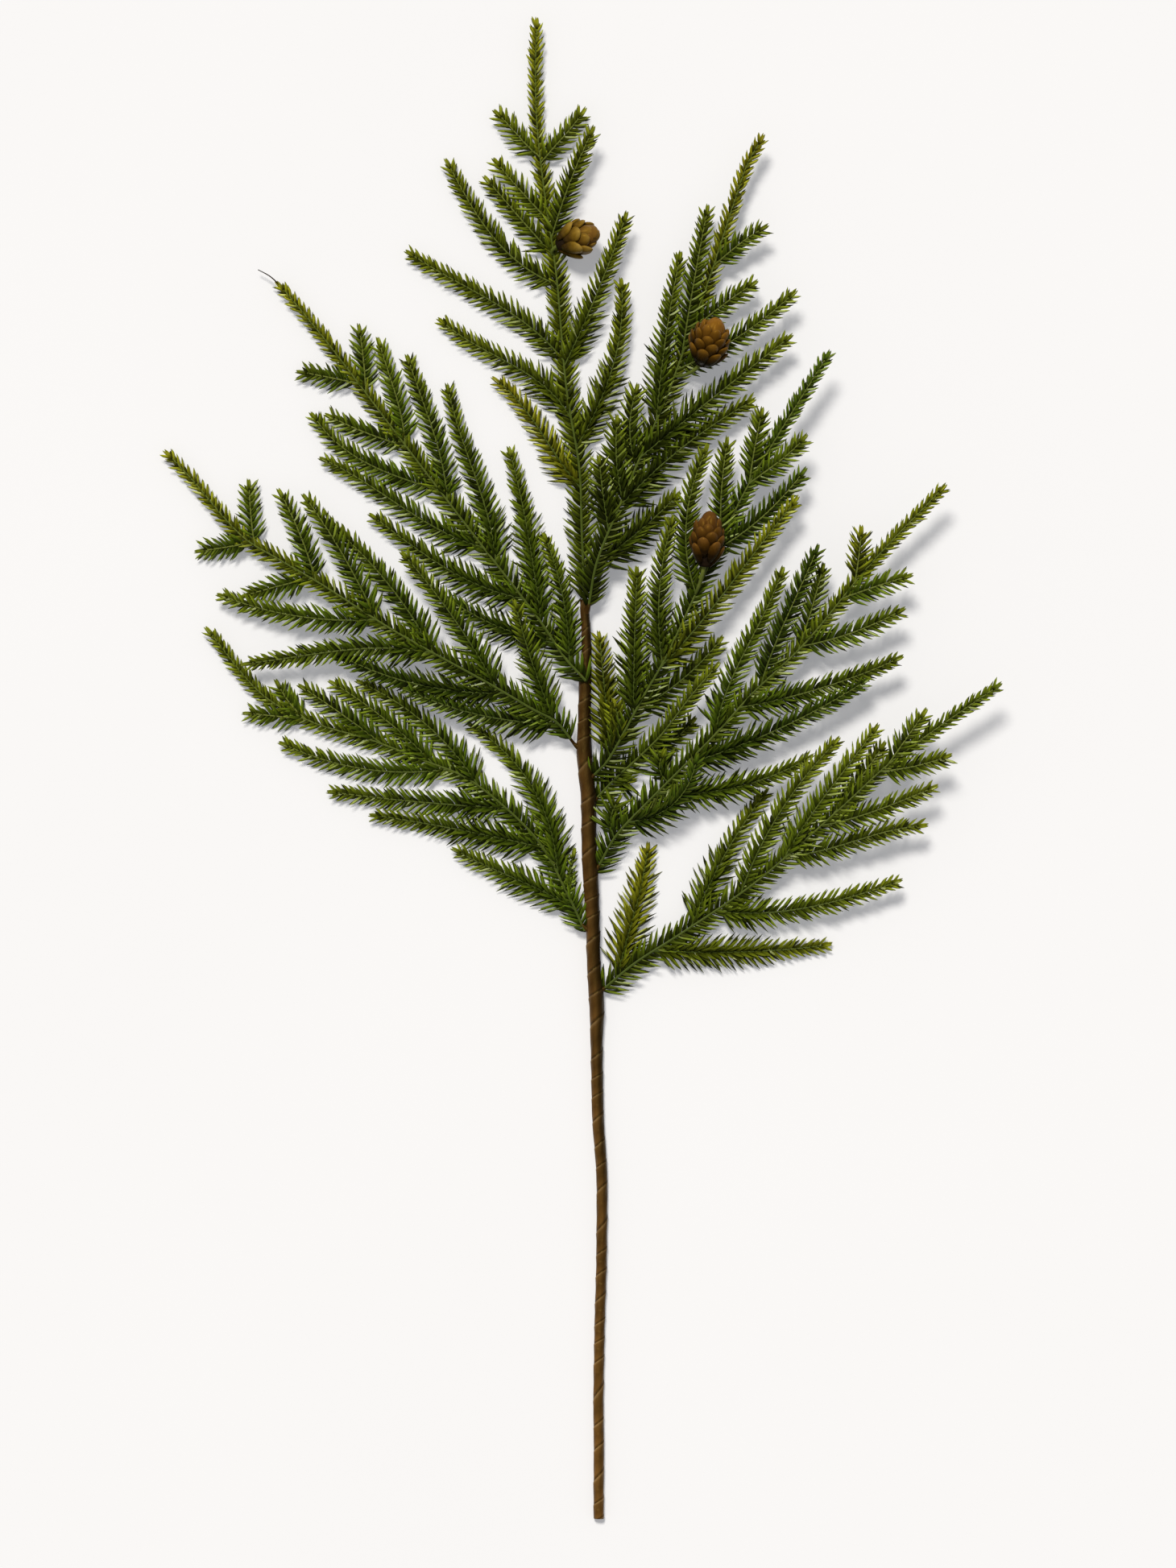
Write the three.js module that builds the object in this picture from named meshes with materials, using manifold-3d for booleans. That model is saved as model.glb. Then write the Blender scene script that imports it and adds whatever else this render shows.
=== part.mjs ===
// Japanese cedar sprig: a wrapped woody stem, nine needled branches and three small cones, lying flat.
// Millimetres, +X to the right, +Y from the cut end to the leading tip, +Z up from the table.
import * as THREE from 'three';
import { mergeVertices } from 'three/addons/utils/BufferGeometryUtils.js';
import Module from 'manifold-3d';

const wasm = await Module();
wasm.setup();

const UP = new THREE.Vector3(0, 0, 1);
const WELD = 0.001;
const GAP = 0.3; // clear space where two pieces meet

// Needle coat of a twig: whorls that flare forwards, each reaching over the foot of the next
const COAT_SIDES = 4;
const SPREAD = 7.4; // needle tips stand this far to either side of the twig near its fork
const TIP_SHARE = 0.5; // and this share of that in the last whorl
const WAIST_SHARE = 0.36; // half width at the foot of a whorl, as a share of the spread
const RIDGE_SHARE = 0.6; // height of the ridge along its back and belly, as a share of the spread
const TWIG_PITCH = 16.5; // one whorl to the next
const AXIS_STEP = 32; // stations along the plain part of a branch's main axis
const AXIS_SHARE = 0.7; // half width of that plain part, as a share of the spread
const OVERHANG = 2.2; // needle tips reach past the foot of the next whorl
const TIP_LENGTH = 7; // the last whorl closes to a point over this length
const STALK_RADIUS = 1.5; // bare foot of a branch or twig
const BARE_FOOT = 6; // length of the bare foot of a branch

// Collars of wrapping where the branches leave the stem
const COLLAR_SIDES = 6;
const COLLAR_ROOT = 2.5;
const COLLAR_END = 1.9;
const COLLAR_SLANT = 5; // a collar starts about this far back from the foot of its branch
const COLLAR_SEARCH = 400; // places along the stem tried as the start of a collar

// Stem, from the cut end to the leader: [x, y, z, radius]
const STEM_SIDES = 8;
const STATION_STEPS = 10; // divisions between two stations when distances are measured
const STEM = [
  [9, -391, 2.7, 2.7],
  [9, -355, 2.7, 2.7],
  [9, -313, 2.7, 2.7],
  [10.5, -250, 3, 2.8],
  [10.5, -212, 3.1, 2.9],
  [8.5, -179, 3.3, 3.1],
  [8, -145, 3.6, 3.2],
  [8, -128, 4.2, 3.8],
  [7.5, -116, 4.6, 4],
  [6.5, -103, 5, 3.6],
  [6, -84, 5.5, 3.7],
  [5, -61, 6, 4],
  [4, -40, 6.3, 4],
  [3.5, -14, 6.5, 4],
  [1.5, 8, 6.5, 4.1],
  [1.5, 23, 6.5, 3.5],
  [2, 44, 6.5, 3.3],
  [2.5, 65, 6.7, 2.6],
  [1.5, 88, 7, 2.3],
];

// Branches. route: main axis from the stem outwards, [x, y, z].
// twigs: [share of the route where it forks off, tip x, tip y, tip z, how far it passes to the left of the
// straight line at one third and at two thirds of the way, fullness].
const BRANCHES = {
  leader: {
    route: [[1.5, 88, 7], [0.2, 123, 6.5], [-1.2, 157, 6], [-8, 199, 5.5], [-13, 256, 5.5], [-19, 298, 5.5],
      [-23, 333, 5.5], [-24, 363, 6.5], [-23, 391, 8]],
    twigs: [
      [0.19, -47, 204, 5, -1, -3], [0.26, 20.5, 255, 14, -6.5, -7.2], [0.31, -75, 235, 5, -4.9, -1.1],
      [0.4, 24, 289, 18, -1.3, -1.3], [0.41, -92, 270, 5, -4.6, -2.1], [0.54, -71, 318, 5, 8.4, 6.6],
      [0.59, -51, 309, 5, 0.4, 0.4], [0.62, 7, 333, 20, 1.3, 1.3], [0.65, -46, 318, 8, 0.5, 0.7],
      [0.75, 2.5, 344, 9, -0.3, -0.8], [0.76, -46, 343, 7, 0.5, 0],
    ],
  },
  right_upper_branch: {
    route: [[4, 86, 10.5], [8, 107, 16], [18, 132, 15], [29, 158, 13], [45, 195, 11], [58, 231, 10],
      [68, 259, 11], [80, 296, 14], [86, 313, 16], [95, 329, 18]],
    twigs: [
      [0.08, 52, 144, 8, -1.3, -1.3], [0.15, 9, 163, 16, 0.4, 0.4], [0.2, 91, 192, 11, 3.6, 3.6],
      [0.22, 19, 184, 15, 1.8, 1.8], [0.29, 30, 200, 14, 3.6, 3.6], [0.31, 110, 225, 18, 0.4, 0.4],
      [0.39, 52, 269, 12, 1.3, 1.3], [0.5, 112, 248, 20, -3.1, -3.1], [0.53, 66, 293, 14, 0.4, 0.4],
      [0.58, 92, 253, 16, 0.9, 0.9], [0.72, 97.5, 281.5, 18, 0.9, 1.2],
    ],
  },
  right_middle_branch: {
    route: [[7, -3, 9], [15, 6, 13], [32, 37, 17], [45, 60, 18], [66, 105, 18], [85, 144, 19],
      [104, 176, 22], [129, 216, 28]],
    twigs: [
      [0.05, 9, 72, 5, -0.9, -0.9, 0.6], [0.07, 16, 37, 12, -2.2, -2.2, 0.8], [0.15, 29, 105, 22, 0.4, 0.4],
      [0.16, 74, 69, 9, -3.1, -3.1], [0.26, 113, 141, 22, -1.5, -0.5], [0.27, 48, 131, 24, 4, 4],
      [0.43, 66, 168, 26, 7.5, 7], [0.53, 117, 156, 20, -3.3, -3], [0.55, 76, 172, 25, 1.3, 1.3],
      [0.68, 94, 187, 26, 0.4, 0.4], [0.68, 117, 173, 26, -1, -1.5],
    ],
  },
  right_inner_branch: {
    route: [[8.5, -15, 6], [18, -5, 7], [29, 5, 9], [42, 18, 15], [58, 39, 22], [72, 55, 25]],
    twigs: [[0.12, 29, -5, 6, -1.3, -1.3, 0.8], [0.32, 60, 27, 5, -2.7, -2.7]],
  },
  right_long_branch: {
    route: [[9.5, -50, 7], [18, -35, 11], [33, -19, 13], [68, 16, 13], [89, 39, 14], [117, 66, 17],
      [150, 106, 21], [189, 147, 27]],
    twigs: [
      [0.06, 22, -14, 14, 3.6, 3.6, 0.8], [0.1, 60, 8, 26, -9, -9], [0.18, 121, 7, 17, -6, -6],
      [0.21, 45, 10, 17, 4, 4], [0.26, 150, 47, 22, -3.5, -3.5], [0.34, 105, 105, 16, 2.8, 0.4],
      [0.41, 167, 58, 24, -2.7, -2.7], [0.47, 123, 116, 27, 1.2, 0.5], [0.57, 126, 107, 17, -0.5, -0.5],
      [0.58, 168, 83, 24, -2.2, -2.2], [0.7, 172, 100, 24, 0.4, 0.4], [0.74, 145, 126, 26, -0.4, -0.4],
    ],
  },
  right_lower_branch: {
    route: [[12.5, -114, 6], [29, -100.5, 8], [54, -84.5, 9], [92, -58, 13], [134, -21, 19], [159, 2, 22],
      [188, 23.5, 26], [217.5, 44, 30]],
    twigs: [
      [0.03, 35, -38, 4, -0.8, -1.5], [0.12, 131, -91.5, 4, -1.8, -2.2], [0.21, 98, -10, 4, 2.7, 2.7],
      [0.27, 167, -58, 16, -6, -4.9], [0.33, 134, 16, 28, 4.9, 4.9], [0.44, 154, 23, 28, 1.5, 0.8],
      [0.45, 180, -30, 20, -0.7, 1.5], [0.54, 185, -9, 24, -1.8, -1.3], [0.57, 158, 14, 20, -0.4, -0.4],
      [0.7, 192, 7, 26, -1.3, -1.3], [0.72, 179, 31, 27, 0, 0],
    ],
  },
  left_upper_branch: {
    route: [[-1, 49, 10.5], [-9, 58, 9], [-24, 80, 6.5], [-56.5, 122, 5], [-92, 168.5, 5], [-131, 220, 5],
      [-159, 254, 5.5]],
    twigs: [
      [0.03, -20, 123, 12, -3.1, -3.1, 0.9], [0.08, -73, 91, 5, 3.5, 3.5], [0.13, -38, 168, 5, -1.4, -1.6],
      [0.19, -111, 133, 5, 5.6, 4.2], [0.28, -70, 201, 5, -2.2, 0], [0.32, -137, 162, 5, 2.8, 0.3],
      [0.44, -91, 216, 5, -2.7, -1.5], [0.465, -141, 186, 5, 6.1, 7.7], [0.575, -134, 185, 5, 1, 1.2],
      [0.58, -106, 225, 5, -1.8, -0.8], [0.71, -116, 232, 5, -0.4, -0.4], [0.735, -149, 207, 5, 0, 0],
    ],
  },
  left_middle_branch: {
    route: [[-4, 13, 8], [-13, 24, 11], [-26, 31, 14], [-49, 44.5, 15.5], [-95, 70, 15.5], [-135, 95.5, 12],
      [-158, 109, 9], [-178, 122, 7], [-202.5, 150, 5], [-217.5, 166, 5.5]],
    twigs: [
      [0.05, -93, 42, 15, 4.4, 4.4], [0.06, -35, 88, 18, 1.3, 1.3], [0.17, -137, 65, 12, 6.7, 6.7],
      [0.19, -94, 113, 15, -2.2, -2.2], [0.33, -137, 132, 7, -4.4, -4.4], [0.33, -177, 54, 15, -4.4, -2.6],
      [0.46, -145, 143, 12, -1.8, -1.8], [0.46, -190, 91, 9, 4.4, 4.4], [0.6, -158, 146, 8, -1.3, -1.3],
      [0.61, -178, 89, 6, -0.4, -0.4], [0.74, -173, 151, 6, 0.6, 0.6], [0.75, -202, 113, 5, 0.4, 0.4],
    ],
  },
  left_lower_branch: {
    route: [[0, -81, 7], [-7, -66, 7], [-24, -36, 5], [-56, -7.5, 5], [-82, 4, 5], [-110.5, 15, 5],
      [-140, 24, 5], [-167.5, 39.5, 5], [-196, 74, 5.5]],
    twigs: [
      [0.03, -68, -41, 5, -0.9, 0.3], [0.06, -3, -41, 6, 0.9, 0.9, 0.45], [0.11, -60, 24, 5, -10.7, -10.7],
      [0.17, -111, -24, 5, -0.9, -0.9], [0.28, -133, -12, 5, 1, 1], [0.35, -118, 46, 5, -5.8, -5.8],
      [0.42, -158, 14, 5, 6.2, 6.2], [0.45, -132, 46, 5, -2.2, -2.2], [0.56, -148, 44, 5, -0.4, -0.4],
      [0.72, -159, 47, 5, 1.8, 1.8], [0.72, -177, 29, 5, 0, 0],
    ],
  },
};

// Cones: middle [x, y, z], direction from stalk to tip, length and radius
const CONE_SIDES = 12; // two sides to a scale
const CONE_TIERS = 4;
const CONE_TIP = 0.5; // the tip stands past the last tier's root by this much more than a tier
const TIER_REACH = 1.25; // a tier's rim lies this many tiers past its root
const CONE_BULGE = 0.47; // the widest place, as a share of the length
const SCALE_ROOT = 0.85; // a tier starts at this share of the girth there
const SCALE_LIFT = 1.08; // a scale's middle stands out to this share
const SCALE_DIP = 0.9; // and the seam between two scales sinks to this
const CONES = {
  top_cone: { middle: [-2, 275, 14.2], towards: [0.85, 0.25, 0.3], length: 23, radius: 10.5 },
  upper_cone: { middle: [66, 220, 28.2], towards: [0.3, 0.85, 0.35], length: 26, radius: 11 },
  middle_cone: { middle: [65, 118, 30.6], towards: [0.1, 0.95, 0.15], length: 28, radius: 9.8 },
};

// Colours and finishes
const FINISHES = {
  stem: { color: 0x4b331f, roughness: 0.7, metalness: 0 },
  needles: { color: 0x3f5420, roughness: 0.5, metalness: 0 },
  cone: { color: 0x70461d, roughness: 0.55, metalness: 0 },
};

// A closed solid from a geometry: shared corners welded and collapsed triangles dropped.
function solid(geometry) {
  geometry.deleteAttribute('normal');
  geometry.deleteAttribute('uv');
  const welded = mergeVertices(geometry, WELD);
  const corners = welded.index.array;
  const kept = [];
  for (let i = 0; i < corners.length; i += 3) {
    const [a, b, c] = corners.slice(i, i + 3);
    if (a !== b && b !== c && c !== a) kept.push(a, b, c);
  }
  const vertProperties = welded.attributes.position.array;
  return new wasm.Manifold(new wasm.Mesh({ numProp: 3, vertProperties, triVerts: Uint32Array.from(kept) }));
}

// Turns a list of rings about an axis, then bends it along a path. A ring is [radius, distance along];
// corner(ring, side, angle) may give another radius and distance for one corner of it.
function bend(rings, sides, path, corner = (ring) => ring) {
  const outline = rings.map(([radius, along]) => new THREE.Vector2(radius, along));
  const geometry = new THREE.LatheGeometry(outline, sides);
  const length = path.getLength();
  const corners = geometry.attributes.position;
  for (let i = 0; i < corners.count; i += 1) {
    const side = Math.floor(i / rings.length) % sides;
    const angle = (side / sides) * 2 * Math.PI;
    const [radius, along] = corner(rings[i % rings.length], side, angle);
    const share = THREE.MathUtils.clamp(along / length, 0, 1);
    const ahead = path.getTangentAt(share);
    const across = ahead.clone().cross(UP).normalize();
    const above = across.clone().cross(ahead);
    const place = path.getPointAt(share);
    place.addScaledVector(across, radius * Math.sin(angle));
    place.addScaledVector(above, radius * Math.cos(angle));
    corners.setXYZ(i, place.x, place.y, place.z);
  }
  return solid(geometry);
}

// Rings of a needle coat: a bare foot, a plain part, then whorls whose tips point forwards.
// Each ring is [radius and distance of its flanks, radius and distance of its ridges].
function coatRings(length, { start = 0, bare = 0, plain = 0, spread = SPREAD } = {}) {
  const waist = spread * WAIST_SHARE;
  const ridge = spread * RIDGE_SHARE;
  const foot = Math.min(STALK_RADIUS, waist);
  const rings = [[0, start, 0, start], [foot, start, foot, start]];
  if (bare > 0) rings.push([foot, bare, foot, bare]);
  const steps = Math.round((plain - bare) / AXIS_STEP);
  for (let step = 1; step <= steps; step += 1) {
    const along = bare + ((plain - bare) * step) / steps;
    rings.push([spread * AXIS_SHARE, along, ridge, along]);
  }
  const whorled = length - TIP_LENGTH - Math.max(plain, bare);
  const whorls = Math.max(2, Math.round(whorled / TWIG_PITCH));
  for (let whorl = 1; whorl <= whorls; whorl += 1) {
    const along = length - TIP_LENGTH - whorled * (1 - whorl / whorls);
    const last = whorl === whorls;
    const share = THREE.MathUtils.lerp(1, TIP_SHARE, (whorl - 1) / (whorls - 1));
    rings.push([spread * share, along + (last ? 0 : OVERHANG), ridge * share, along]);
    if (!last) rings.push([waist * share, along, ridge * share, along]);
  }
  rings.push([0, length, 0, length]);
  return rings;
}

// A needle coat along a curve: flanks to the left and right, a ridge above and below.
function coat(curve, options) {
  const corner = ([flank, flankAlong, ridge, ridgeAlong], side) => (
    side % 2 === 1 ? [flank, flankAlong] : [ridge, ridgeAlong]
  );
  return bend(coatRings(curve.getLength(), options), COAT_SIDES, curve, corner);
}

// Smooth curve through a branch's route.
function routeCurve(route) {
  const points = route.map(([x, y, z]) => new THREE.Vector3(x, y, z));
  return new THREE.CatmullRomCurve3(points, false, 'catmullrom');
}

// Curve of a twig: from its fork to its tip, passing the given distances to the left of the straight line
// at one third (near) and at two thirds (far) of the way. A cubic curve meets both when its two control
// points stand off by three times the one distance less one and a half times the other.
function twigCurve(fork, tip, near, far) {
  const chord = tip.clone().sub(fork);
  const left = UP.clone().cross(chord).normalize();
  const first = fork.clone().lerp(tip, 1 / 3).addScaledVector(left, 3 * near - 1.5 * far);
  const second = fork.clone().lerp(tip, 2 / 3).addScaledVector(left, 3 * far - 1.5 * near);
  return new THREE.CubicBezierCurve3(fork, first, second, tip);
}

// One branch: its coated main axis with every twig fused to it.
function branch({ route, twigs }) {
  const axis = routeCurve(route);
  const lastFork = Math.max(...twigs.map(([share]) => share)) * axis.getLength();
  let body = coat(axis, { start: GAP, bare: BARE_FOOT, plain: lastFork });
  for (const [share, x, y, z, near, far, fullness = 1] of twigs) {
    const curve = twigCurve(axis.getPointAt(share), new THREE.Vector3(x, y, z), near, far);
    body = body.add(coat(curve, { spread: SPREAD * fullness }));
  }
  return body;
}

// The stem with a collar for every branch that leaves its side.
function stem() {
  const axis = routeCurve(STEM);
  const lengths = axis.getLengths((STEM.length - 1) * STATION_STEPS);
  const rings = STEM.map(([, , , radius], station) => [radius, lengths[station * STATION_STEPS]]);
  const ends = [[0, 0], [0, axis.getLength()]];
  let body = bend([ends[0], ...rings, ends[1]], STEM_SIDES, axis);
  for (const [name, { route }] of Object.entries(BRANCHES)) {
    if (name !== 'leader') body = body.add(collar(axis, routeCurve(route)));
  }
  return body;
}

// A short tapered collar that curves from inside the stem to the foot of a branch.
function collar(stemAxis, branchAxis) {
  const foot = branchAxis.getPointAt(0);
  const behind = foot.clone().addScaledVector(branchAxis.getTangentAt(0), -COLLAR_SLANT);
  const inside = nearestOn(stemAxis, behind);
  const path = new THREE.QuadraticBezierCurve3(inside, foot.clone().lerp(behind, 0.5), foot);
  const length = path.getLength();
  const rings = [[0, 0], [COLLAR_ROOT, 0], [COLLAR_END, length], [0, length]];
  return bend(rings, COLLAR_SIDES, path);
}

// The point of a curve that lies closest to a given point.
function nearestOn(curve, target) {
  const points = curve.getSpacedPoints(COLLAR_SEARCH);
  return points.reduce((best, point) => (
    point.distanceTo(target) < best.distanceTo(target) ? point : best
  ));
}

// One cone: tiers of scales, each tier opening towards the tip and half a scale on from the one before.
function cone({ middle, towards, length, radius }) {
  const half = new THREE.Vector3(...towards).setLength(length / 2);
  const core = new THREE.Vector3(...middle);
  const path = new THREE.LineCurve3(core.clone().sub(half), core.clone().add(half));
  const tierLength = length / (CONE_TIERS + CONE_TIP);
  const girth = (along) => radius * Math.sqrt(1 - (2 * (along / length - CONE_BULGE)) ** 2);
  const rings = [[0, 0, 0]];
  for (let tier = 0; tier < CONE_TIERS; tier += 1) {
    const root = tierLength * tier;
    const rim = tierLength * (tier + TIER_REACH);
    rings.push([girth(root) * SCALE_ROOT, root, tier]);
    rings.push([girth(rim), rim, tier]);
  }
  rings.push([0, length, 0]);
  const lobe = ([reach, along, tier], side) => {
    const scaleMiddle = (side + tier) % 2 === 0;
    return [reach * (scaleMiddle ? SCALE_LIFT : SCALE_DIP), along];
  };
  return bend(rings, CONE_SIDES, path, lobe);
}

// A named mesh from a solid.
function part(name, body, finish) {
  const { vertProperties, triVerts } = body.getMesh();
  const geometry = new THREE.BufferGeometry();
  geometry.setAttribute('position', new THREE.BufferAttribute(vertProperties, 3));
  geometry.setIndex(new THREE.BufferAttribute(triVerts, 1));
  geometry.computeVertexNormals();
  const mesh = new THREE.Mesh(geometry, new THREE.MeshStandardMaterial(finish));
  mesh.name = name;
  return mesh;
}

const sprig = new THREE.Group();
sprig.add(part('stem', stem(), FINISHES.stem));
for (const [name, shape] of Object.entries(BRANCHES)) {
  sprig.add(part(name, branch(shape), FINISHES.needles));
}
for (const [name, shape] of Object.entries(CONES)) {
  sprig.add(part(name, cone(shape), FINISHES.cone));
}

// The origin is under the middle of the sprig, on the table.
const box = new THREE.Box3().setFromObject(sprig);
const centre = box.getCenter(new THREE.Vector3());
sprig.position.set(-centre.x, -centre.y, -box.min.z);

export default sprig;
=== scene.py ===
"""Japanese cedar sprig: needles, ribs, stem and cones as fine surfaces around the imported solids."""
import math

import bpy
import numpy as np
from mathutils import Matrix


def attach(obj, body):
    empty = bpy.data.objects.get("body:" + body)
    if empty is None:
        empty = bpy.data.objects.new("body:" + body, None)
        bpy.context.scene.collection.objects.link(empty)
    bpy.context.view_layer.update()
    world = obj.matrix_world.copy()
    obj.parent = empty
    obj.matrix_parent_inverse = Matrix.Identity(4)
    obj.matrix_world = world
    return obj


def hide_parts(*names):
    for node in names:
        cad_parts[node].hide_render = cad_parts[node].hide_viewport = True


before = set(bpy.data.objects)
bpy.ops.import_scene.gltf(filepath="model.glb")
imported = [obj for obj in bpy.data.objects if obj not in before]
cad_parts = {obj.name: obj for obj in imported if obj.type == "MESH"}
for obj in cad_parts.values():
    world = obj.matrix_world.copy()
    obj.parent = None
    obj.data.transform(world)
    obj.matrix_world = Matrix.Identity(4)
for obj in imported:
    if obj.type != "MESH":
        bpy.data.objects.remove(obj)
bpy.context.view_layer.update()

MM = 0.001
UP = np.array([0.0, 0.0, 1.0])
RNG = np.random.default_rng(11)
NEEDLE, RIB, BARK = range(3)  # places of the materials in a branch
SCALE, INSIDE, STALK = range(3)  # and in a cone

# Needles, in mm and degrees
PITCH = 3.7  # from one needle to the next in a row
NEEDLE_LENGTH = (10.2, 6.5)  # near the fork, near the tip
INNER_LENGTH = 0.2  # needles near a branch's foot are longer by this share
NEEDLE_LEAN = (57, 43)  # angle to the twig, near the fork and near the tip
HALF_WIDTH = 0.88  # of a blade at its widest
HALF_THICK = 0.6
INCURVE = 0.15  # sideways bend towards the twig's tip, as a share of the length
FOOT_RADIUS = -0.5  # a needle starts this far past the twig's middle, under the rib
# Random spread of a needle's place, length, lean, turn about the twig, roll and width
SPREAD = {"along": 0.25, "length": 0.06, "lean": 3.5, "turn": 5, "roll": 10, "width": 0.06}
TWIG_FOOT = 2.5  # a twig's first needles sit this far from its fork
LOWEST = 0.2  # nothing hangs below this height over the table
# Rows of needles: angle about the twig from its right side, share of the pitch by which the row starts
# later, share of the full length, share of the full lean, roll of the blade about its own length, tone.
# The low tones of the short rows between the main ones and of the rows underneath are painted shade.
ROWS = [
    (-4, 0.0, 1.0, 1.0, -15, 0.72),
    (184, 0.5, 1.0, 1.0, 15, 0.72),
    (12, 0.5, 0.62, 0.95, -10, 0.15),
    (168, 0.0, 0.62, 0.95, 10, 0.15),
    (-36, 0.1, 1.05, 1.1, -10, 0.0),
    (216, 0.6, 1.05, 1.1, 10, 0.0),
    (-90, 0.5, 0.65, 0.8, 0, 0.0),
]
# More rows near the forks: over the back of a twig, and long ones below its sides, whose low tone is
# painted shade
BACK_ROWS = [
    (50, 0.3, 0.8, 0.85, -10, 0.5),
    (130, 0.8, 0.8, 0.85, 10, 0.5),
    (-22, 0.25, 1.25, 1.1, -10, 0.08),
    (202, 0.75, 1.25, 1.1, 10, 0.08),
]
BACK_END = 0.5  # they end at this share of the way out in the branch
BACK_SPREAD = 0.08  # random spread of that share
TONE_SPREAD = 0.45  # random spread of a single needle's tone
TWIG_TONE = 0.06  # and of a whole twig's
INNER_SHADE = {  # painted shade: needles near a branch's foot are darker by this much
    "leader": 0.2, "right_upper_branch": 0.66, "right_middle_branch": 0.4,
    "right_inner_branch": 0.15, "right_long_branch": 0.14, "right_lower_branch": 0.2,
    "left_upper_branch": 0.18, "left_middle_branch": 0.2, "left_lower_branch": 0.02,
}
# Outline of a needle: share of its length, share of its width, share of its thickness
NEEDLE_OUTLINE = [(0.0, 0.8, 0.4), (0.35, 1.0, 1.0), (0.75, 0.76, 0.8), (1.0, 0.1, 0.12)]
# Painted highlight: pale edges on each needle
NEEDLE_HIGHLIGHTS = (1.0, 0.1, 0.3, 0.1)  # how pale its edges are: inner edge, top, outer edge, underside
TUFT = 5  # needles that close a twig's tip
TUFT_BACK = 6.2  # they start this far back from the tip
TUFT_LEAN = (4, 14)  # angle to the twig, of the first and the last one
TUFT_TURN = 20  # turn of the first one about the twig
TUFT_SHARES = (1.0, 0.85)  # longest and shortest, as shares of the way to the tip
TUFT_TONE = 0.5

RIB_RADIUS = (0.45, 0.32)  # pale rib of a twig, at the fork and at the tip
AXIS_RADIUS = (0.7, 0.36)  # and of a branch's main axis
RIB_STEP = 4.0  # from one ring of corners to the next
RIB_SIDES = 6
RIB_LIFT = 0.28  # the ribs lie this far above the middle of the twig
AXIS_TONE = 0.3  # tone of the main axis; a twig's is the share of the route where it forks off

# Stem, from the cut end to the leader: [x, y, z, radius]
STEM = [
    [9, -391, 2.7, 2.7],
    [9, -355, 2.7, 2.7],
    [9, -313, 2.7, 2.7],
    [10.5, -250, 3, 2.8],
    [10.5, -212, 3.1, 2.9],
    [8.5, -179, 3.3, 3.1],
    [8, -145, 3.6, 3.2],
    [8, -128, 4.2, 3.8],
    [7.5, -116, 4.6, 4],
    [6.5, -103, 5, 3.6],
    [6, -84, 5.5, 3.7],
    [5, -61, 6, 4],
    [4, -40, 6.3, 4],
    [3.5, -14, 6.5, 4],
    [1.5, 8, 6.5, 4.1],
    [1.5, 23, 6.5, 3.5],
    [2, 44, 6.5, 3.3],
    [2.5, 65, 6.7, 2.6],
    [1.5, 88, 7, 2.3],
]
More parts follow.
